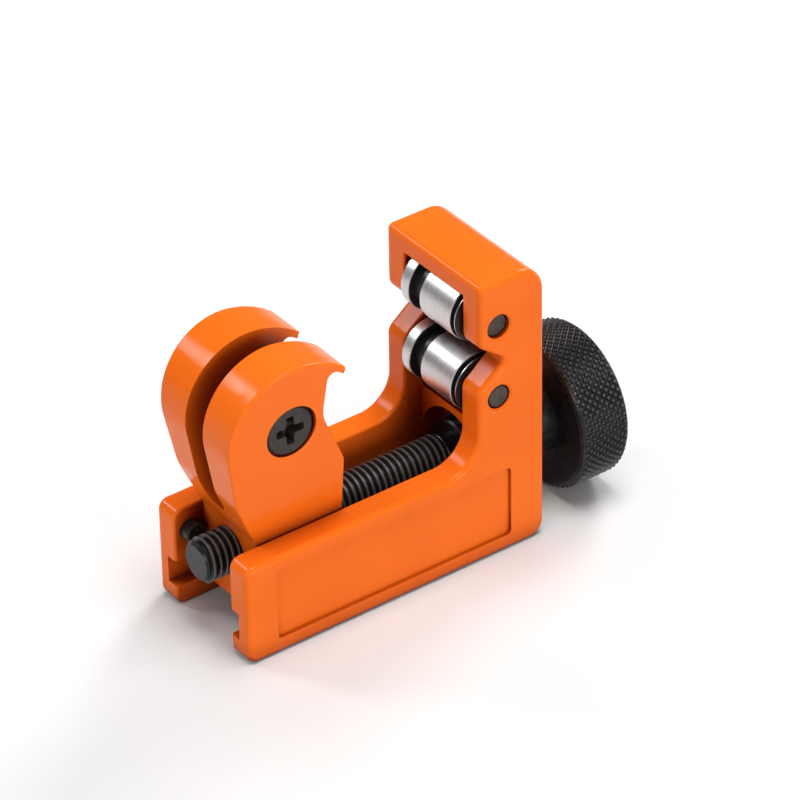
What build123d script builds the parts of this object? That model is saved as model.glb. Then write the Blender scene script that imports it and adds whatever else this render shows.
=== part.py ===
from build123d import *

import os
from math import cos, radians, sin

# Mini tube cutter: a die-cast frame of two grooved rails and a hollow tower, a slide with the cutter
# wheel that rides between the rails, two rollers in the tower, and a knob on a feed screw.
# Millimetres. +X runs along the rails towards the knob, +Y across them, +Z up.
# Origin: centre of the whole object's footprint, on the surface it stands on.
# "Station" means a distance along the rails from their open end.

# ---- driving dimensions -------------------------------------------------------------------------
SCREW_OVERHANG = 1.1         # feed screw tip outside the rails' open end
KNOB_END = 79.0              # station of the knob's outer face
OPEN_END = (SCREW_OVERHANG - KNOB_END) / 2     # X of the rails' open end

FRAME_WIDTH = 26.0
FRAME_LENGTH = 61.4
RAIL_HEIGHT = 19.4
TOWER_HEIGHT = 54.9
TOWER_FRONT = 48.1
LOWER_FRONT = 47.7           # station of the cheeks' front below the notch
NOTCH_STATION, NOTCH_Z = 53.6, 38.9            # V between the rollers, in the cheeks' front
NOSE, LOWER_NOSE = (TOWER_FRONT, 43.1), (LOWER_FRONT, 34.2)    # where the notch begins
THROAT_FILLET = 6.3          # rounding between the rail tops and the tower's cheeks
WALL = 5.0                   # thickness of the rails and of the tower's cheeks
CHANNEL = FRAME_WIDTH / 2 - WALL               # half the gap between the rails
BACK_WALL = 55.5             # station of the inner back face below the shelf, where the screw bears
ROLLER_WALL = 58.0           # station of the inner back face behind the rollers
ROOF = 51.5                  # underside of the tower's roof
SHELF_FRONT, SHELF_HIGH = 51.3, 23.6            # shelf over the screw; its underside is an arch
GROOVE_LOW, GROOVE_HIGH, GROOVE_DEPTH, GROOVE_END = 4.0, 9.2, 2.3, 50.4
PANEL_START, PANEL_END, PANEL_LOW, PANEL_HIGH, PANEL_DEPTH = 6.0, 54.3, 3.0, 16.8, 0.6
EDGE = 1.0                   # rounding of the castings' outer edges

SCREW_Z = 14.3
THREAD_R, THREAD_END = 4.0, 51.2
SHANK_R = 3.5
RUNNING = 0.05               # radial clearance of every turning fit
GAP = 0.3                    # clearance between bodies that don't fit together

ROLLER_STATION = 52.0
UPPER_ROLLER_Z, LOWER_ROLLER_Z = 46.0, 31.95
ROLLER_R, ROLLER_PIN_R = 5.5, 2.25
ROLLER_NEAR = -CHANNEL + GAP                   # Y of the rollers' near end
LAND, GROOVE, MAIN_LAND, NECK, LIP = 2.2, 3.05, 8.35, 0.9, 0.2     # widths, far end to near end
GROOVE_R, NECK_R, LIP_R = 4.2, 4.6, 5.2
UPPER_PIN_RECESS, LOWER_PIN_RECESS, PIN_HOLE_BEVEL = 0.9, 0.4, 0.3

WHEEL_STATION, WHEEL_Z, WHEEL_R = 12.2, 40.3, 9.0
WHEEL_HUB_R, WHEEL_HUB_HALF, WHEEL_DISC_HALF = 4.2, 2.2, 1.0
HEAD_STATION, HEAD_Z, HEAD_R = 12.2, 40.5, 12.5
HEAD_HALF = 10.9             # half the thickness of the slide's head at its top
NECK_HALF = CHANNEL - GAP    # half the thickness of the slide between the rails
DRAFT = (HEAD_HALF - NECK_HALF) / (HEAD_Z + HEAD_R - RAIL_HEIGHT)   # slope of the head's faces
TONGUE_HALF = CHANNEL + GROOVE_DEPTH - GAP
TONGUE_LOW, TONGUE_HIGH = GROOVE_LOW + GAP, GROOVE_HIGH - GAP
SLIDE_START, SLIDE_END = 5.7, 23.3
CROWN_TOP, CROWN_END = 80, 190                 # degrees; the crown's arc, from the brow to the slide's back
BACK_BEND, FOOT_BEND = (1.6, 28.8), (SLIDE_START, 19.4)        # corners of the slide's outline before
SHOULDER, THROAT_LOW, THROAT_HIGH = (SLIDE_END, 29.8), (18.5, 40.7), (19.4, 49.8)   # they are rounded:
BEAK_UNDER, BEAK_TIP = (22.3, 47.8), (22.7, 49.0)              # station and height
CROWN_EDGE, THROAT_EDGE = 0.45, 0.4            # rounding of the head's edges, outside and in the throat
SLOT_HALF, SLOT_FLOOR = 2.5, 23.3
AXLE_R, AXLE_HEAD_R = 2.5, 4.6
AXLE_FACE = 9.3              # from the middle of the slide to the face of the axle screw's head
HEAD_RECESS_R, HEAD_RECESS_FLOOR = 4.9, AXLE_FACE - 0.9

KNOB_R, KNOB_START, KNOB_EDGE = 14.2, 69.2, 0.5
HUB_R, HUB_START = 6.7, 62.3
DISH_R, DISH_DEPTH = 10.6, 0.8
KNOB_PIN_STATION, KNOB_PIN_R = 66.0, 1.25
COLLAR_START, COLLAR_END, COLLAR_R = 51.5, 54.5, 5.5
COLLAR_PIN_R = 1.0
STOP_STATION, STOP_Z, STOP_R, STOP_TIP = 3.1, 14.8, 2.0, 5.8


def along(station):
    """X of a point at this station."""
    return OPEN_END + station


def at(station, height):
    """A point of a side-view outline."""
    return (along(station), height)


SCREW_AXIS = Axis((0, 0, SCREW_Z), (1, 0, 0))
WHEEL_AXIS = Axis((along(WHEEL_STATION), 0, WHEEL_Z), (0, 1, 0))
SIDE_VIEW = Plane.XZ         # sketches of outlines; extruding goes towards -Y

os.makedirs("parts", exist_ok=True)


# ---- frame --------------------------------------------------------------------------------------
with BuildPart() as frame:
    with BuildSketch(SIDE_VIEW) as frame_outline:
        with BuildLine():
            Polyline(
                at(0, 0), at(FRAME_LENGTH, 0), at(FRAME_LENGTH, TOWER_HEIGHT),
                at(TOWER_FRONT, TOWER_HEIGHT), at(*NOSE), at(NOTCH_STATION, NOTCH_Z), at(*LOWER_NOSE),
                at(LOWER_FRONT, RAIL_HEIGHT), at(0, RAIL_HEIGHT), close=True,
            )
        make_face()
        for place, radius in (
            ((0, 0), 2.0), ((0, RAIL_HEIGHT), 2.0), ((FRAME_LENGTH, 0), 3.0),
            ((FRAME_LENGTH, TOWER_HEIGHT), 5.0), ((TOWER_FRONT, TOWER_HEIGHT), 1.2),
            (NOSE, 2.2), ((NOTCH_STATION, NOTCH_Z), 1.0), (LOWER_NOSE, 2.5),
            ((LOWER_FRONT, RAIL_HEIGHT), THROAT_FILLET),
        ):
            fillet(frame_outline.vertices().sort_by_distance(at(*place))[0], radius)
    extrude(amount=FRAME_WIDTH / 2, both=True)
    sides = frame.faces().filter_by(Axis.Y)
    fillet(sides.edges(), EDGE)

    # The gap between the rails runs on into the tower, above and below the shelf.
    hollow = 2 * CHANNEL
    with Locations((along(SHELF_FRONT), 0, -EDGE)):
        Box(SHELF_FRONT + EDGE, hollow, ROOF + EDGE, align=(Align.MAX, Align.CENTER, Align.MIN),
            mode=Mode.SUBTRACT)
    with Locations((along(SHELF_FRONT), 0, -EDGE)):
        Box(BACK_WALL - SHELF_FRONT, hollow, SCREW_Z + EDGE, align=(Align.MIN, Align.CENTER, Align.MIN),
            mode=Mode.SUBTRACT)
    with Locations(Location((along((SHELF_FRONT - EDGE + BACK_WALL) / 2), 0, SCREW_Z), (0, 90, 0))):
        Cylinder(CHANNEL, BACK_WALL - SHELF_FRONT + EDGE, mode=Mode.SUBTRACT)
    with Locations((along(SHELF_FRONT), 0, SHELF_HIGH)):
        Box(ROLLER_WALL - SHELF_FRONT, hollow, ROOF - SHELF_HIGH, align=(Align.MIN, Align.CENTER, Align.MIN),
            mode=Mode.SUBTRACT)
    inner_edges = frame.edges().filter_by(lambda e: abs(abs(e.center().Y) - CHANNEL) < 0.01)
    rail_inner_edges = inner_edges.filter_by(lambda e: e.center().X < along(SHELF_FRONT - 1))
    fillet(rail_inner_edges, 0.5)

    # Grooves that the slide's tongues run in.
    with Locations((along(GROOVE_END), 0, GROOVE_LOW)):
        Box(GROOVE_END + EDGE, 2 * (CHANNEL + GROOVE_DEPTH), GROOVE_HIGH - GROOVE_LOW,
            align=(Align.MAX, Align.CENTER, Align.MIN), mode=Mode.SUBTRACT)

    # Sunk panel on each rail's outer face.
    for side in (-1, 1):
        panel_plane = Plane((along(0), side * FRAME_WIDTH / 2, 0), x_dir=(1, 0, 0), z_dir=(0, -1, 0))
        with BuildSketch(panel_plane):
            with Locations(((PANEL_START + PANEL_END) / 2, (PANEL_LOW + PANEL_HIGH) / 2)):
                RectangleRounded(PANEL_END - PANEL_START, PANEL_HIGH - PANEL_LOW, 0.8)
        extrude(amount=side * PANEL_DEPTH, mode=Mode.SUBTRACT)

    # Bores: two roller pins, the feed screw's shank and the stop screw in the far rail.
    for z in (UPPER_ROLLER_Z, LOWER_ROLLER_Z):
        with Locations(Location((along(ROLLER_STATION), 0, z), (90, 0, 0))):
            Cylinder(ROLLER_PIN_R, FRAME_WIDTH + EDGE, mode=Mode.SUBTRACT)
    mouths = frame.edges().filter_by(GeomType.CIRCLE).filter_by(lambda e: abs(e.radius - ROLLER_PIN_R) < 0.01)
    chamfer(mouths.filter_by(lambda e: abs(e.center().Y) > FRAME_WIDTH / 2 - 0.01), PIN_HOLE_BEVEL)
    with Locations(Location((along(FRAME_LENGTH), 0, SCREW_Z), (0, 90, 0))):
        Cylinder(SHANK_R + RUNNING, 2 * (FRAME_LENGTH - BACK_WALL + EDGE), mode=Mode.SUBTRACT)
    with Locations(Location((along(STOP_STATION), CHANNEL, STOP_Z), (-90, 0, 0))):
        Cylinder(STOP_R, 2 * (WALL + EDGE), mode=Mode.SUBTRACT)
frame.part.label = "frame"


# ---- slide --------------------------------------------------------------------------------------
with BuildPart() as slide:
    with BuildSketch(SIDE_VIEW) as slide_outline:
        with BuildLine():
            # The crown's arc runs on, in line with its end, in a flatter one to the tip of the beak.
            crown = CenterArc(at(HEAD_STATION, HEAD_Z), HEAD_R, CROWN_TOP, CROWN_END - CROWN_TOP)
            brow_start = (sin(radians(CROWN_TOP)), -cos(radians(CROWN_TOP)))
            TangentArc(crown @ 0, at(*BEAK_TIP), tangent=brow_start)
            Polyline(
                crown @ 1, at(*BACK_BEND), at(*FOOT_BEND), at(SLIDE_START, TONGUE_LOW),
                at(SLIDE_END, TONGUE_LOW), at(*SHOULDER), at(*THROAT_LOW), at(*THROAT_HIGH),
                at(*BEAK_UNDER), at(*BEAK_TIP),
            )
        make_face()
        for place, radius in (
            (BACK_BEND, 12.0), (FOOT_BEND, 5.0), (SHOULDER, 3.0), (THROAT_LOW, 7.0), (THROAT_HIGH, 1.3),
        ):
            fillet(slide_outline.vertices().sort_by_distance(at(*place))[0], radius)
    extrude(amount=HEAD_HALF + 1, both=True)

    # Seen along the rails: a head whose faces lean in to the neck between the rails, and two tongues.
    with BuildSketch(Plane.YZ.offset(along(SLIDE_START) - 10)) as slide_front:
        with BuildLine():
            Polyline(
                (0, TONGUE_LOW), (TONGUE_HALF, TONGUE_LOW), (TONGUE_HALF, TONGUE_HIGH),
                (NECK_HALF, TONGUE_HIGH), (NECK_HALF, RAIL_HEIGHT),
                (HEAD_HALF + DRAFT, HEAD_Z + HEAD_R + 1), (0, HEAD_Z + HEAD_R + 1), close=True,
            )
        make_face()
        mirror(about=Plane.YZ)
    extrude(amount=40, mode=Mode.INTERSECT)
    crown_end = along(HEAD_STATION + 5)
    for in_throat, radius in ((False, CROWN_EDGE), (True, THROAT_EDGE)):
        sides = slide.faces().filter_by(lambda f: abs(f.normal_at().Y) > 0.9 and f.center().Z > RAIL_HEIGHT + 5)
        rims = sides.edges().filter_by(lambda e: e.center().Z > RAIL_HEIGHT + 0.1)
        if in_throat:
            rims = rims.filter_by(lambda e: e.center().X > crown_end and e.center().Z < BEAK_UNDER[1] - 1)
        else:
            rims = rims.filter_by(lambda e: e.center().X < crown_end or e.center().Z > THROAT_HIGH[1] - 0.3)
        fillet(rims, radius)

    # Slot for the wheel, open at the top and at both ends, with a round floor.
    with BuildSketch(Plane.YZ.offset(along(SLIDE_START) - 10)):
        with Locations((0, SLOT_FLOOR + SLOT_HALF)):
            Circle(SLOT_HALF)
            Rectangle(2 * SLOT_HALF, 2 * HEAD_Z, align=(Align.CENTER, Align.MIN))
    extrude(amount=40, mode=Mode.SUBTRACT)

    # Bores: the feed screw's, and the wheel screw's with a recess and a countersink for its head.
    with Locations(Location((along(HEAD_STATION), 0, SCREW_Z), (0, 90, 0))):
        Cylinder(THREAD_R + RUNNING, 4 * HEAD_R, mode=Mode.SUBTRACT)
    with Locations(Location((along(WHEEL_STATION), 0, WHEEL_Z), (90, 0, 0))):
        Cylinder(AXLE_R, 4 * HEAD_R, mode=Mode.SUBTRACT)
    with BuildSketch(Plane.XY.offset(WHEEL_Z)) as countersink:
        with BuildLine():
            centre = along(WHEEL_STATION)
            Polyline(
                (centre, -HEAD_HALF - EDGE), (centre + HEAD_RECESS_R, -HEAD_HALF - EDGE),
                (centre + HEAD_RECESS_R, -HEAD_RECESS_FLOOR), (centre + AXLE_HEAD_R, -HEAD_RECESS_FLOOR),
                (centre + AXLE_R, -HEAD_RECESS_FLOOR + 2), (centre, -HEAD_RECESS_FLOOR + 2), close=True,
            )
        make_face()
    revolve(axis=WHEEL_AXIS, mode=Mode.SUBTRACT)
slide.part.label = "slide"


# ---- wheel and its axle screw -------------------------------------------------------------------
with BuildPart() as cutter_wheel:
    with BuildSketch(Plane.XY.offset(WHEEL_Z)):
        with BuildLine():
            centre = along(WHEEL_STATION)
            Polyline(
                (centre + AXLE_R + RUNNING, -WHEEL_HUB_HALF), (centre + WHEEL_HUB_R, -WHEEL_HUB_HALF),
                (centre + WHEEL_HUB_R, -WHEEL_DISC_HALF), (centre + 0.72 * WHEEL_R, -WHEEL_DISC_HALF),
                (centre + WHEEL_R, 0), (centre + 0.72 * WHEEL_R, WHEEL_DISC_HALF),
                (centre + WHEEL_HUB_R, WHEEL_DISC_HALF), (centre + WHEEL_HUB_R, WHEEL_HUB_HALF),
                (centre + AXLE_R + RUNNING, WHEEL_HUB_HALF), close=True,
            )
        make_face()
    revolve(axis=WHEEL_AXIS)
cutter_wheel.part.label = "cutter_wheel"

with BuildPart() as wheel_axle_screw:
    screw_end = HEAD_HALF - 2.4
    with BuildSketch(Plane.XY.offset(WHEEL_Z)):
        with BuildLine():
            centre = along(WHEEL_STATION)
            Polyline(
                (centre, -AXLE_FACE), (centre + AXLE_HEAD_R - 0.4, -AXLE_FACE),
                (centre + AXLE_HEAD_R, -AXLE_FACE + 0.3), (centre + AXLE_HEAD_R, -HEAD_RECESS_FLOOR),
                (centre + AXLE_R, -HEAD_RECESS_FLOOR + 2), (centre + AXLE_R, screw_end - 0.5),
                (centre + AXLE_R - 0.5, screw_end), (centre, screw_end), close=True,
            )
        make_face()
    revolve(axis=WHEEL_AXIS)
    recess_plane = Plane((along(WHEEL_STATION), -AXLE_FACE, WHEEL_Z), x_dir=(1, 0, 0), z_dir=(0, 1, 0))
    with BuildSketch(recess_plane):
        for turn in (0, 90):
            RectangleRounded(5.4, 1.5, 0.4, rotation=turn)
        RectangleRounded(2.6, 2.6, 0.4, rotation=45)
    extrude(amount=1.8, taper=12, mode=Mode.SUBTRACT)
wheel_axle_screw.part.label = "wheel_axle_screw"


# ---- feed screw and what turns with it ----------------------------------------------------------
def ring(inner, outer, start, end, edge):
    """Cross-section of a ring round the feed screw, between two stations, with bevelled outer edges."""
    with BuildSketch(Plane.XZ) as section:
        with BuildLine():
            Polyline(
                (along(start), SCREW_Z + inner), (along(end), SCREW_Z + inner),
                (along(end), SCREW_Z + outer - edge), (along(end - edge), SCREW_Z + outer),
                (along(start + edge), SCREW_Z + outer), (along(start), SCREW_Z + outer - edge), close=True,
            )
        make_face()
    return section.sketch


with BuildPart() as feed_screw:
    with BuildSketch(Plane.XZ):
        with BuildLine():
            Polyline(
                (along(-SCREW_OVERHANG), SCREW_Z), (along(-SCREW_OVERHANG), SCREW_Z + THREAD_R - 0.7),
                (along(0.7 - SCREW_OVERHANG), SCREW_Z + THREAD_R), (along(THREAD_END), SCREW_Z + THREAD_R),
                (along(THREAD_END), SCREW_Z + SHANK_R), (along(KNOB_END - DISH_DEPTH), SCREW_Z + SHANK_R),
                (along(KNOB_END - DISH_DEPTH), SCREW_Z), close=True,
            )
        make_face()
    revolve(axis=SCREW_AXIS)
    with Locations((along((COLLAR_START + COLLAR_END) / 2), 0, SCREW_Z)):
        Cylinder(COLLAR_PIN_R, 4 * COLLAR_R, mode=Mode.SUBTRACT)
    with Locations((along(KNOB_PIN_STATION), 0, SCREW_Z)):
        Cylinder(KNOB_PIN_R, 4 * HUB_R, mode=Mode.SUBTRACT)
feed_screw.part.label = "feed_screw"

with BuildPart() as retaining_collar:
    add(revolve(ring(SHANK_R, COLLAR_R, COLLAR_START, COLLAR_END, 0.4), axis=SCREW_AXIS, mode=Mode.PRIVATE))
    with Locations((along((COLLAR_START + COLLAR_END) / 2), 0, SCREW_Z)):
        Cylinder(COLLAR_PIN_R, 4 * COLLAR_R, mode=Mode.SUBTRACT)
retaining_collar.part.label = "retaining_collar"

with BuildPart() as collar_pin:
    with Locations((along((COLLAR_START + COLLAR_END) / 2), 0, SCREW_Z)):
        Cylinder(COLLAR_PIN_R, 2 * COLLAR_R - 0.6)
    chamfer(collar_pin.edges().filter_by(GeomType.CIRCLE), 0.25)
collar_pin.part.label = "collar_pin"

with BuildPart() as collar_washer:
    add(revolve(ring(SHANK_R, COLLAR_R + 0.6, COLLAR_END, BACK_WALL - 0.1, 0.2), axis=SCREW_AXIS,
                mode=Mode.PRIVATE))
collar_washer.part.label = "collar_washer"

with BuildPart() as thrust_washer:
    add(revolve(ring(SHANK_R, HUB_R + 0.4, FRAME_LENGTH + 0.1, HUB_START, 0.2), axis=SCREW_AXIS,
                mode=Mode.PRIVATE))
thrust_washer.part.label = "thrust_washer"

with BuildPart() as knob:
    with BuildSketch(Plane.XZ) as knob_section:
        with BuildLine():
            Polyline(
                (along(HUB_START), SCREW_Z + SHANK_R), (along(HUB_START), SCREW_Z + HUB_R - 0.5),
                (along(HUB_START + 0.5), SCREW_Z + HUB_R), (along(KNOB_START), SCREW_Z + HUB_R),
                (along(KNOB_START), SCREW_Z + KNOB_R - KNOB_EDGE),
                (along(KNOB_START + KNOB_EDGE), SCREW_Z + KNOB_R),
                (along(KNOB_END - 0.7), SCREW_Z + KNOB_R), (along(KNOB_END), SCREW_Z + KNOB_R - 0.7),
                (along(KNOB_END), SCREW_Z + DISH_R), (along(KNOB_END - DISH_DEPTH), SCREW_Z + DISH_R - 0.8),
                (along(KNOB_END - DISH_DEPTH), SCREW_Z + SHANK_R), close=True,
            )
        make_face()
    revolve(axis=SCREW_AXIS)
    with Locations((along(KNOB_PIN_STATION), 0, SCREW_Z)):
        Cylinder(KNOB_PIN_R, 2 * HUB_R + 1, mode=Mode.SUBTRACT)
knob.part.label = "knob"

with BuildPart() as knob_pin:
    with Locations((along(KNOB_PIN_STATION), 0, SCREW_Z)):
        Cylinder(KNOB_PIN_R, 2 * HUB_R - 0.8)
    chamfer(knob_pin.edges().filter_by(GeomType.CIRCLE), 0.25)
knob_pin.part.label = "knob_pin"


# ---- rollers, their pins and the stop screw -----------------------------------------------------
def make_roller(z, name):
    """A turned roller: plain land, deep groove, main land, shallow neck and a thin lip."""
    steps = ((LIP, LIP_R), (NECK, NECK_R), (MAIN_LAND, ROLLER_R), (GROOVE, GROOVE_R), (LAND, ROLLER_R))
    centre, bore = along(ROLLER_STATION), ROLLER_PIN_R + RUNNING
    outline = [(centre + bore, ROLLER_NEAR)]
    y = ROLLER_NEAR
    for width, radius in steps:
        outline += [(centre + radius, y), (centre + radius, y + width)]
        y += width
    outline.append((centre + bore, y))
    with BuildPart() as roller:
        with BuildSketch(Plane.XY.offset(z)):
            with BuildLine():
                Polyline(*outline, close=True)
            make_face()
        revolve(axis=Axis((centre, 0, z), (0, 1, 0)))
        rims = roller.edges().filter_by(GeomType.CIRCLE).filter_by(lambda e: abs(e.radius - ROLLER_R) < 0.01)
        chamfer(rims, 0.15)
    roller.part.label = name
    return roller.part


def make_roller_pin(z, name, recess):
    """A plain pin across the tower, with bevelled ends sunk a little into the near cheek."""
    length = FRAME_WIDTH - recess - LOWER_PIN_RECESS
    with BuildPart() as pin:
        with Locations(Location((along(ROLLER_STATION), (recess - LOWER_PIN_RECESS) / 2, z), (90, 0, 0))):
            Cylinder(ROLLER_PIN_R, length)
        chamfer(pin.edges().filter_by(GeomType.CIRCLE), 0.3)
    pin.part.label = name
    return pin.part


upper_roller = make_roller(UPPER_ROLLER_Z, "upper_roller")
lower_roller = make_roller(LOWER_ROLLER_Z, "lower_roller")
upper_roller_pin = make_roller_pin(UPPER_ROLLER_Z, "upper_roller_pin", UPPER_PIN_RECESS)
lower_roller_pin = make_roller_pin(LOWER_ROLLER_Z, "lower_roller_pin", LOWER_PIN_RECESS)

with BuildPart() as slide_stop_screw:
    stop_end = FRAME_WIDTH / 2 - 0.5
    stop_plane = Plane((along(STOP_STATION), stop_end, STOP_Z), x_dir=(1, 0, 0), z_dir=(0, -1, 0))
    with BuildSketch(stop_plane):
        Circle(STOP_R)
    extrude(amount=stop_end - STOP_TIP)
    chamfer(slide_stop_screw.edges().filter_by(GeomType.CIRCLE), 0.3)
    with BuildSketch(stop_plane):
        RegularPolygon(1.15, 6)
    extrude(amount=2.0, mode=Mode.SUBTRACT)
slide_stop_screw.part.label = "slide_stop_screw"


# ---- one file per piece -------------------------------------------------------------------------
export_step(frame.part, "parts/frame.step")
export_step(slide.part, "parts/slide.step")
export_step(cutter_wheel.part, "parts/cutter_wheel.step")
export_step(wheel_axle_screw.part, "parts/wheel_axle_screw.step")
export_step(feed_screw.part, "parts/feed_screw.step")
export_step(retaining_collar.part, "parts/retaining_collar.step")
export_step(collar_pin.part, "parts/collar_pin.step")
export_step(collar_washer.part, "parts/collar_washer.step")
export_step(thrust_washer.part, "parts/thrust_washer.step")
export_step(knob.part, "parts/knob.step")
export_step(knob_pin.part, "parts/knob_pin.step")
export_step(upper_roller, "parts/upper_roller.step")
export_step(lower_roller, "parts/lower_roller.step")
export_step(upper_roller_pin, "parts/upper_roller_pin.step")
export_step(lower_roller_pin, "parts/lower_roller_pin.step")
export_step(slide_stop_screw.part, "parts/slide_stop_screw.step")
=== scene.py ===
from math import cos, radians, sin, tau

import bmesh
import bpy
from mathutils import Matrix, Vector


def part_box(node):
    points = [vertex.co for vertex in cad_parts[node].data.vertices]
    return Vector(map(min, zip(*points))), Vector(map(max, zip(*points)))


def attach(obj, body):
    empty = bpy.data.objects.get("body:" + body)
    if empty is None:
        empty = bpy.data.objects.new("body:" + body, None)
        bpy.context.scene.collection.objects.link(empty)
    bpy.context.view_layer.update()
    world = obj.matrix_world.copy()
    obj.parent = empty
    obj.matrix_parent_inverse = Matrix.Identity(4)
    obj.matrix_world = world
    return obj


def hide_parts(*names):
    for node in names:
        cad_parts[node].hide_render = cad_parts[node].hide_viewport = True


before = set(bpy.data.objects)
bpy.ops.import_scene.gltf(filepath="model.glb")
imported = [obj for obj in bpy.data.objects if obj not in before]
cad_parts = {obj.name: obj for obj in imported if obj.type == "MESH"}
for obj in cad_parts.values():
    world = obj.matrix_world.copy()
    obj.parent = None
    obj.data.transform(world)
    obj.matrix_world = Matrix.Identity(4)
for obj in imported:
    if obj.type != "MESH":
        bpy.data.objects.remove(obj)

MM = 0.001

# Sizes in metres, and places as distances from a CAD node's own ends.
THREAD_CREST, THREAD_ROOT, THREAD_PITCH = 4.0 * MM, 3.3 * MM, 1.25 * MM
THREAD_ROUND, THREAD_ROWS = 56, 10     # points round the thread, and along each turn
THREAD_RUNOUT = 1.8 * MM               # plain length in front of the collar
THREAD_EASE = 0.05 * MM                # from the thread's last row to the plain shank
TIP_R, TIP_CHAMFER = 1.5 * MM, 0.9 * MM              # the flat middle and the bevel of the screw's tip
THREAD_FLAT, THREAD_FLANK = 0.12, 0.72               # shares of half a pitch: the root and the flank
THREAD_HIGHLIGHT_DEPTH, THREAD_HIGHLIGHT_GREY = 0.22 * MM, 0.16        # depth of the painted highlight below the thread's crests, and how bright it is
SHANK_R = 3.5 * MM
KNURLS, KNURL_STEPS, KNURL_DEPTH = 60, 8, 0.55 * MM    # diamonds round the knob, points across each
KNURL_FLAT = 0.36                      # where a diamond's flank meets its flat top; 0.5 is the middle
# painted highlight on the knurl's tops: its depth below the top, and how bright it is
KNURL_HIGHLIGHT_DEPTH, KNURL_HIGHLIGHT_GREY = 0.25 * MM, 0.085
KNOB_DISC = 9.8 * MM                   # width of the knob's knurled disc
NEAR_BEVEL, FAR_BEVEL = 0.9 * MM, 0.7 * MM
FACE_EASE, FACE_EASE_START, FACE_EASE_END = 0.1 * MM, 0.35 * MM, 0.2 * MM  # eased edge, inside the bevel
HUB_R, HUB_BEVEL = 6.7 * MM, 0.5 * MM
DISH_R, DISH_DEPTH, DISH_SLOPE = 10.6 * MM, 0.8 * MM, 0.8 * MM
SMOOTH_UNDER = radians(30)             # edges flatter than this are shaded smooth on the turned pieces
PIN_RIM = 0.42                         # where a pin end's black ring starts, in diameters from the middle
PAINTED_SHADE_REACH = 9 * MM                  # how near a wall has to be for the painted shade in recesses to darken the paint
BLACK_BANDS = ((-0.05, 0.05), (0.20, 1.12), (9.42, 12.52))    # near-black bands along a roller from its near end, in mm: the near end face and the groove as painted shade, and the neck

# Lights: name, place and width in metres, power in watts.
LIGHTS = (
    ("top", (0.05, -0.10, 0.95), 0.45, 7.0),
    ("front", (0.15, -0.95, 0.24), 0.45, 4.3),
    ("left", (-0.90, -0.35, 0.40), 0.40, 2.3),
    ("back_left", (-0.42, 0.70, 0.62), 0.22, 2.4),
    ("right", (0.75, 0.35, 0.60), 0.35, 5.0),
)
WORLD_STRENGTH = 0.18


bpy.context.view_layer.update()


# ---- places taken from the frame ----------------------------------------------------------------
def low(node, axis):
    """Lowest X, Y or Z (axis 0, 1 or 2) of a CAD node, in metres."""
    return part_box(node)[0][axis]


def high(node, axis):
    """Highest X, Y or Z of a CAD node, in metres."""
    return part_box(node)[1][axis]


def middle(node, axis):
    """Middle of a CAD node along one axis, in metres."""
    return (low(node, axis) + high(node, axis)) / 2


# ---- material helpers ---------------------------------------------------------------------------
def new_material(name):
    """A material with an empty node tree, its Principled shader and a function that adds nodes."""
    material = bpy.data.materials.new(name)
    material.use_nodes = True
    tree = material.node_tree
    tree.nodes.clear()
    output = tree.nodes.new("ShaderNodeOutputMaterial")
    shader = tree.nodes.new("ShaderNodeBsdfPrincipled")
    tree.links.new(shader.outputs["BSDF"], output.inputs["Surface"])
    return material, tree, shader


def add_node(tree, kind, inputs=None, **settings):
    """A node with its settings, and its inputs set to values or linked to sockets."""
    node = tree.nodes.new(kind)
    for key, value in settings.items():
        setattr(node, key, value)
    for key, value in (inputs or {}).items():
        if isinstance(value, bpy.types.NodeSocket):
            tree.links.new(value, node.inputs[key])
        else:
            node.inputs[key].default_value = value
    return node


def ramp(tree, factor, stops):
    """A colour ramp over a factor; each stop is (position, grey or colour)."""
    node = tree.nodes.new("ShaderNodeValToRGB")
    tree.links.new(factor, node.inputs["Fac"])
    elements = node.color_ramp.elements
    while len(elements) < len(stops):
        elements.new(0.5)
    for element, (position, value) in zip(elements, stops):
        element.position = position
        element.color = (*value, 1.0) if isinstance(value, tuple) else (value, value, value, 1.0)
    return node.outputs["Color"]


def noise(tree, scale, detail=2.0, roughness=0.5):
    """Noise over the object's own coordinates; scale is in features per metre."""
    place = add_node(tree, "ShaderNodeTexCoord").outputs["Object"]
    node = add_node(
        tree, "ShaderNodeTexNoise",
        {"Vector": place, "Scale": scale, "Detail": detail, "Roughness": roughness},
    )
    return node.outputs["Fac"]


def mix(tree, factor, a, b):
    """Colour mix of a and b by a factor."""
    node = tree.nodes.new("ShaderNodeMix")
    node.data_type = "RGBA"
    for socket, value in ((node.inputs[0], factor), (node.inputs[6], a), (node.inputs[7], b)):
        if isinstance(value, bpy.types.NodeSocket):
            tree.links.new(value, socket)
        elif isinstance(value, tuple):
            socket.default_value = (*value, 1.0)
        else:
            socket.default_value = value
    return node.outputs[2]


def bump(tree, shader, height, strength, distance):
    """Bump from a height, into the shader's normal."""
    node = add_node(
        tree, "ShaderNodeBump", {"Height": height, "Strength": strength, "Distance": distance}
    )
    tree.links.new(node.outputs["Normal"], shader.inputs["Normal"])


def distance_from_line(tree, coordinates, point, across):
    """Distance from a line through point; across is 1 on the axes that count and 0 along the line."""
    place = add_node(tree, "ShaderNodeTexCoord").outputs[coordinates]
    offset = add_node(
        tree, "ShaderNodeVectorMath", {0: place, 1: point}, operation="SUBTRACT",
    ).outputs["Vector"]
    flat = add_node(
        tree, "ShaderNodeVectorMath", {0: offset, 1: across}, operation="MULTIPLY",
    ).outputs["Vector"]
    return add_node(tree, "ShaderNodeVectorMath", {0: flat}, operation="LENGTH").outputs["Value"]


def paint_over(material, factor, colour):
    """Mixes a colour over the base colour that a material has so far."""
    tree = material.node_tree
    shader = next(node for node in tree.nodes if node.type == "BSDF_PRINCIPLED")
    under = shader.inputs["Base Color"].links[0].from_socket
    tree.links.new(mix(tree, factor, under, colour), shader.inputs["Base Color"])


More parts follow.
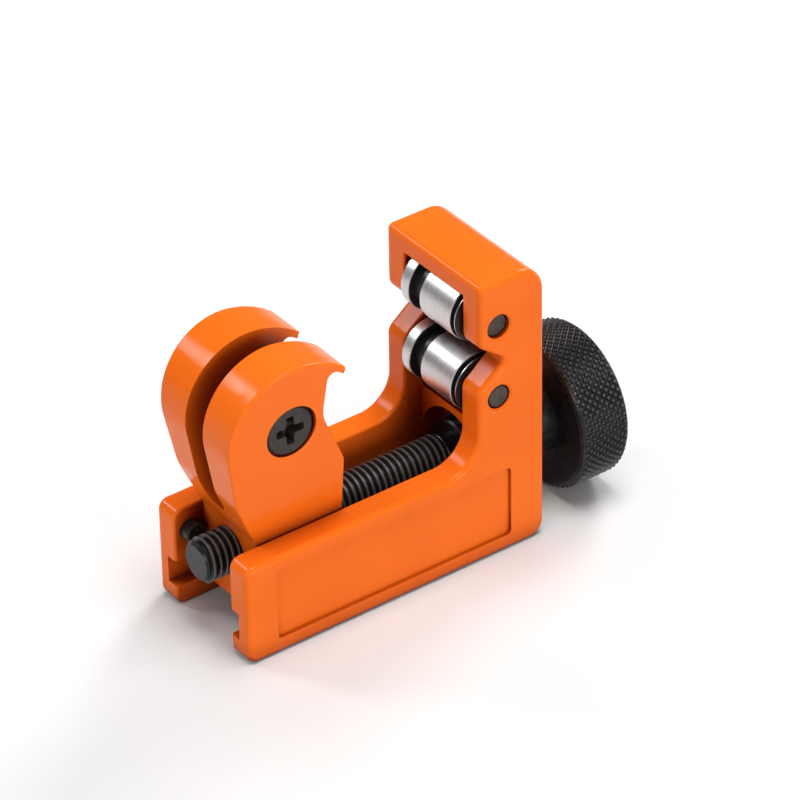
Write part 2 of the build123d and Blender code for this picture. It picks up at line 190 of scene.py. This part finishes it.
# ---- materials ----------------------------------------------------------------------------------
def orange_paint():
    """Gloss orange coat over a casting: faint orange peel, and painted shade that darkens the colour down
    in the recesses.
    """
    material, tree, shader = new_material("orange_paint")
    shade = ramp(
        tree, noise(tree, 60, 2), [(0.35, (0.80, 0.136, 0.007)), (0.65, (0.84, 0.146, 0.009))],
    )
    # Painted shade: ambient occlusion darkens the base colour towards dark red-brown in recesses.
    openness = add_node(
        tree, "ShaderNodeAmbientOcclusion", {"Distance": PAINTED_SHADE_REACH}, samples=8,
    ).outputs["AO"]
    painted_shade = ramp(tree, openness, [(0.28, 0.0), (0.78, 1.0)])
    tree.links.new(mix(tree, painted_shade, (0.16, 0.010, 0.002), shade), shader.inputs["Base Color"])
    gloss = ramp(tree, noise(tree, 400, 2), [(0.3, 0.17), (0.7, 0.24)])
    tree.links.new(gloss, shader.inputs["Roughness"])
    shader.inputs["Specular IOR Level"].default_value = 0.13
    bump(tree, shader, noise(tree, 300, 1), 0.22, 0.0004)
    return material


def black_oxide():
    """Oiled black oxide on steel."""
    material, tree, shader = new_material("black_oxide")
    shade = ramp(
        tree, noise(tree, 500, 4, 0.6), [(0.3, (0.008, 0.008, 0.009)), (0.75, (0.014, 0.014, 0.015))],
    )
    tree.links.new(shade, shader.inputs["Base Color"])
    gloss = ramp(tree, noise(tree, 1200, 3), [(0.3, 0.26), (0.7, 0.34)])
    tree.links.new(gloss, shader.inputs["Roughness"])
    shader.inputs["Metallic"].default_value = 0.2
    bump(tree, shader, noise(tree, 3000, 2), 0.12, 0.00004)
    return material


def roller_steel(near_end):
    """Ground steel with fine turning marks; painted shade in near-black on the near end face and in the
    groove, and a near-black neck.
    """
    material, tree, shader = new_material("roller_steel")
    place = add_node(tree, "ShaderNodeTexCoord").outputs["Object"]
    y = add_node(tree, "ShaderNodeSeparateXYZ", {"Vector": place}).outputs["Y"]
    # Near-black bands: painted shade on the near end face and in the groove, and the neck.
    black = 0.0
    for start, end in BLACK_BANDS:
        centre, half = near_end + (start + end) / 2 * MM, (end - start) / 2 * MM
        band = add_node(
            tree, "ShaderNodeMath", {0: y, 1: centre, 2: half}, operation="COMPARE",
        ).outputs["Value"]
        black = add_node(
            tree, "ShaderNodeMath", {0: band, 1: black}, operation="MAXIMUM",
        ).outputs["Value"]
    rings = add_node(tree, "ShaderNodeMapping", {"Vector": place, "Scale": (300.0, 9000.0, 300.0)})
    marks = add_node(
        tree, "ShaderNodeTexNoise", {"Vector": rings.outputs["Vector"], "Scale": 1.0, "Detail": 2.0},
    ).outputs["Fac"]
    bright = ramp(tree, marks, [(0.35, (0.56, 0.56, 0.57)), (0.65, (0.72, 0.72, 0.73))])
    tree.links.new(mix(tree, black, bright, (0.012, 0.012, 0.013)), shader.inputs["Base Color"])
    gloss = ramp(tree, marks, [(0.3, 0.34), (0.7, 0.42)])
    tree.links.new(gloss, shader.inputs["Roughness"])
    metal = add_node(tree, "ShaderNodeMath", {0: 1.0, 1: black}, operation="SUBTRACT").outputs["Value"]
    tree.links.new(metal, shader.inputs["Metallic"])
    return material


def plain_steel(name, dark, light, rough, metallic=0.9):
    """Dull steel with a mottled film."""
    material, tree, shader = new_material(name)
    film = ramp(tree, noise(tree, 900, 4), [(0.3, dark), (0.7, light)])
    tree.links.new(film, shader.inputs["Base Color"])
    gloss = ramp(tree, noise(tree, 1600, 3), [(0.3, rough), (0.7, rough + 0.15)])
    tree.links.new(gloss, shader.inputs["Roughness"])
    shader.inputs["Metallic"].default_value = metallic
    return material


def pin_end_steel():
    """Dull brown-grey pin ends with a black ring round them, where the pin meets its hole."""
    material = plain_steel("pin_end_steel", (0.030, 0.020, 0.015), (0.070, 0.050, 0.040), 0.38, 0.4)
    tree = material.node_tree
    radius = distance_from_line(tree, "Generated", (0.5, 0.5, 0.5), (1.0, 0.0, 1.0))
    rim = add_node(
        tree, "ShaderNodeMath", {0: radius, 1: PIN_RIM}, operation="GREATER_THAN",
    ).outputs["Value"]
    paint_over(material, rim, (0.006, 0.005, 0.005))
    return material


def black_with_crest_highlight(name, axis_z, crest_radius, depth, grey):
    """Black steel with a painted highlight on its crests, reaching as deep as depth below the crest
    radius.
    """
    material = plain_steel(name, (0.012, 0.012, 0.013), (0.028, 0.028, 0.030), 0.26, 0.6)
    tree = material.node_tree
    radius = distance_from_line(tree, "Object", (0.0, 0.0, axis_z), (0.0, 1.0, 1.0))
    # Painted highlight: lighter grey towards the crest radius.
    crest_highlight = add_node(
        tree, "ShaderNodeMapRange",
        {"Value": radius, "From Min": crest_radius - depth, "From Max": crest_radius},
    ).outputs["Result"]
    paint_over(material, crest_highlight, (grey, grey, grey))
    return material


paint = orange_paint()
oxide = black_oxide()
polished = roller_steel(low("upper_roller", 1))
screw_z = middle("feed_screw", 2)
knob_radius = (high("knob", 2) - low("knob", 2)) / 2
# The thread and the knurl get painted highlights on their crests.
thread_steel = black_with_crest_highlight("thread_steel", screw_z, THREAD_CREST, THREAD_HIGHLIGHT_DEPTH, THREAD_HIGHLIGHT_GREY)
knurl_steel = black_with_crest_highlight("knurl_steel", screw_z, knob_radius, KNURL_HIGHLIGHT_DEPTH, KNURL_HIGHLIGHT_GREY)
pin_steel = plain_steel("pin_steel", (0.10, 0.07, 0.055), (0.20, 0.15, 0.125), 0.40, 0.6)
pin_ends = pin_end_steel()
screw_black = plain_steel("screw_black", (0.022, 0.016, 0.014), (0.036, 0.028, 0.025), 0.36, 0.4)
wheel_steel = plain_steel("wheel_steel", (0.22, 0.22, 0.23), (0.4, 0.4, 0.41), 0.22)
washer_steel = plain_steel("washer_steel", (0.3, 0.3, 0.31), (0.5, 0.5, 0.52), 0.28)

FINISHES = {
    "frame": paint, "slide": paint,
    "cutter_wheel": wheel_steel,
    "wheel_axle_screw": screw_black, "slide_stop_screw": oxide,
    "feed_screw": thread_steel, "retaining_collar": oxide, "knob": oxide,
    "collar_pin": pin_steel, "knob_pin": pin_steel,
    "upper_roller_pin": pin_ends, "lower_roller_pin": pin_ends,
    "collar_washer": washer_steel, "thrust_washer": washer_steel,
    "upper_roller": polished, "lower_roller": polished,
}
for node, material in FINISHES.items():
    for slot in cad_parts[node].material_slots:
        slot.material = material


# ---- turned pieces with real threads and knurling -------------------------------------------------
def lathe_grid(name, rows, count, axis_z, material):
    """A closed turned mesh about the screw's axis. rows gives, for each ring, a function of the turn
    (0 to 1) that returns (x, radius); a radius of 0 closes an end."""
    mesh = bmesh.new()
    rings = []
    for row in rows:
        ring = []
        for step in range(count):
            turn = step / count
            x, radius = row(turn)
            angle = tau * turn
            ring.append(mesh.verts.new((x, radius * cos(angle), axis_z + radius * sin(angle))))
        rings.append(ring)
    for first, second in zip(rings, rings[1:]):
        for step in range(count):
            after = (step + 1) % count
            mesh.faces.new((first[step], first[after], second[after], second[step]))
    mesh.faces.new(rings[0][::-1])
    mesh.faces.new(rings[-1])
    bmesh.ops.remove_doubles(mesh, verts=mesh.verts, dist=1e-7)
    bmesh.ops.recalc_face_normals(mesh, faces=mesh.faces)
    data = bpy.data.meshes.new(name)
    mesh.to_mesh(data)
    mesh.free()
    data.materials.append(material)
    piece = bpy.data.objects.new(name, data)
    bpy.context.scene.collection.objects.link(piece)
    for face in data.polygons:
        face.use_smooth = True
    data.set_sharp_from_angle(angle=SMOOTH_UNDER)
    return piece


def plain_ring(x, radius):
    """A ring of constant place and radius, for lathe_grid."""
    return lambda turn: (x, radius)


def triangle(value):
    """Distance to the nearest whole number, 0 to 0.5."""
    return abs(value - round(value))


def make_thread(axis_z, tip, thread_end, shank_end):
    """The feed screw: an M8 thread with rounded crests, a bevelled tip and a plain shank."""
    turns = (thread_end - tip) / THREAD_PITCH + 2

    def thread_row(index):
        def place(turn):
            # A right-hand thread: rows move along the axis as they go round.
            x = tip + (index / THREAD_ROWS - 1 - turn) * THREAD_PITCH
            rise = (triangle(index / THREAD_ROWS) * 2 - THREAD_FLAT) / THREAD_FLANK
            height = min(max(rise, 0), 1)
            height = height * height * (3 - 2 * height)
            radius = THREAD_ROOT + (THREAD_CREST - THREAD_ROOT) * height
            x = min(max(x, tip), thread_end)
            runout = (thread_end - x) / THREAD_PITCH
            if runout < 1:
                radius = max(radius, SHANK_R)
                radius = SHANK_R + (radius - SHANK_R) * runout
            bevel = THREAD_CREST - TIP_CHAMFER + (x - tip)
            return x, min(radius, bevel)
        return place

    rows = [plain_ring(tip, TIP_R)]
    rows += [thread_row(index) for index in range(int(turns * THREAD_ROWS) + 1)]
    rows += [plain_ring(thread_end + THREAD_EASE, SHANK_R), plain_ring(shank_end, SHANK_R)]
    return lathe_grid("feed_screw_threaded", rows, THREAD_ROUND, axis_z, thread_steel)


def make_knob(axis_z, start, end, radius):
    """The knob: a plain hub and a disc with diamond knurling, dished on its outer face."""
    disc = end - KNOB_DISC
    count = KNURLS * KNURL_STEPS
    step = tau * radius / count
    steps = round(KNOB_DISC / step)

    def knurl_row(index):
        x = disc + KNOB_DISC * index / steps
        rim = min(radius, radius - NEAR_BEVEL + (x - disc), radius - FAR_BEVEL + (end - x))

        def place(turn):
            along, around = index / KNURL_STEPS, turn * KNURLS
            flank = min(triangle(around + along), triangle(around - along))
            height = min(flank / KNURL_FLAT, 1.0)
            return x, min(rim, radius - KNURL_DEPTH * (1 - height))
        return place

    rows = [
        plain_ring(start, SHANK_R), plain_ring(start, HUB_R - HUB_BEVEL),
        plain_ring(start + HUB_BEVEL, HUB_R), plain_ring(disc, HUB_R),
        plain_ring(disc, radius - NEAR_BEVEL - FACE_EASE_START),
        plain_ring(disc + FACE_EASE, radius - NEAR_BEVEL - FACE_EASE_END),
    ]
    rows += [knurl_row(index) for index in range(1, steps)]
    rows += [
        plain_ring(end, radius - FAR_BEVEL), plain_ring(end, DISH_R),
        plain_ring(end - DISH_DEPTH, DISH_R - DISH_SLOPE), plain_ring(end - DISH_DEPTH, SHANK_R),
    ]
    return lathe_grid("knob_knurled", rows, count, axis_z, knurl_steel)


def cut_cross_hole(piece, x, axis_z, radius):
    """A hole across the screw's axis, right through the hub, for a pin."""
    bpy.ops.mesh.primitive_cylinder_add(
        vertices=48, radius=radius, depth=4 * HUB_R, location=(x, 0, axis_z),
    )
    cutter = bpy.context.object
    cutter.name = piece.name + "_hole"
    hole = piece.modifiers.new("pin hole", "BOOLEAN")
    hole.operation, hole.solver, hole.object = "DIFFERENCE", "EXACT", cutter
    bpy.context.view_layer.update()
    graph = bpy.context.evaluated_depsgraph_get()
    data = bpy.data.meshes.new_from_object(piece.evaluated_get(graph))
    piece.modifiers.clear()
    piece.data = data
    bpy.data.objects.remove(cutter)


screw = make_thread(
    screw_z, low("feed_screw", 0), low("retaining_collar", 0) - THREAD_RUNOUT, high("feed_screw", 0),
)
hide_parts("feed_screw")
knurled = make_knob(screw_z, low("knob", 0), high("knob", 0), knob_radius)
knob_pin_radius = (high("knob_pin", 0) - low("knob_pin", 0)) / 2
cut_cross_hole(knurled, middle("knob_pin", 0), screw_z, knob_pin_radius)
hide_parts("knob")
for piece, slot in ((screw, "black_oxide"), (knurled, "black_oxide")):
    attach(piece, "screw_body")


# ---- stage --------------------------------------------------------------------------------------
def lay_floor():
    """A plain pale floor, large enough to fill every view."""
    bpy.ops.mesh.primitive_plane_add(size=6.0, location=(0, 0, 0))
    floor = bpy.context.object
    floor.name = "floor"
    material, tree, shader = new_material("floor")
    shader.inputs["Base Color"].default_value = (0.72, 0.72, 0.72, 1)
    shader.inputs["Roughness"].default_value = 0.7
    floor.data.materials.append(material)


def aim_at(thing, target):
    """Turns a light or camera so that it looks at the target."""
    thing.rotation_euler = (Vector(target) - thing.location).to_track_quat("-Z", "Y").to_euler()


def area_light(name, place, target, size, power):
    """A soft square white light; size in metres and power in watts."""
    light = bpy.data.lights.new(name, "AREA")
    light.size = size
    light.energy = power
    lamp = bpy.data.objects.new(name, light)
    bpy.context.scene.collection.objects.link(lamp)
    lamp.location = place
    aim_at(lamp, target)


def set_world(strength):
    """Even white surroundings."""
    world = bpy.data.worlds.new("world")
    bpy.context.scene.world = world
    world.use_nodes = True
    background = world.node_tree.nodes["Background"]
    background.inputs["Color"].default_value = (1, 1, 1, 1)
    background.inputs["Strength"].default_value = strength


def place_camera():
    """A long lens from the near left, above."""
    azimuth, elevation, roll = radians(35.84), radians(34.75), radians(-1.10)
    distance = 0.8492
    target = Vector((low("frame", 0) + 40.94 * MM, 0.0, 29.03 * MM))
    forward = Vector((sin(azimuth) * cos(elevation), cos(azimuth) * cos(elevation), -sin(elevation)))
    data = bpy.data.cameras.new("camera")
    data.lens = 228.8
    data.sensor_width = 36.0
    data.clip_start = 0.01
    camera = bpy.data.objects.new("camera", data)
    bpy.context.scene.collection.objects.link(camera)
    turned = forward.to_track_quat("-Z", "Y") @ Matrix.Rotation(roll, 3, "Z").to_quaternion()
    camera.matrix_world = Matrix.Translation(target - forward * distance) @ turned.to_matrix().to_4x4()
    bpy.context.scene.camera = camera


lay_floor()
centre = (0.0, 0.0, 0.025)
for name, place, size, power in LIGHTS:
    area_light(name, place, centre, size, power)
set_world(WORLD_STRENGTH)
place_camera()
bpy.context.scene.view_settings.view_transform = "Standard"
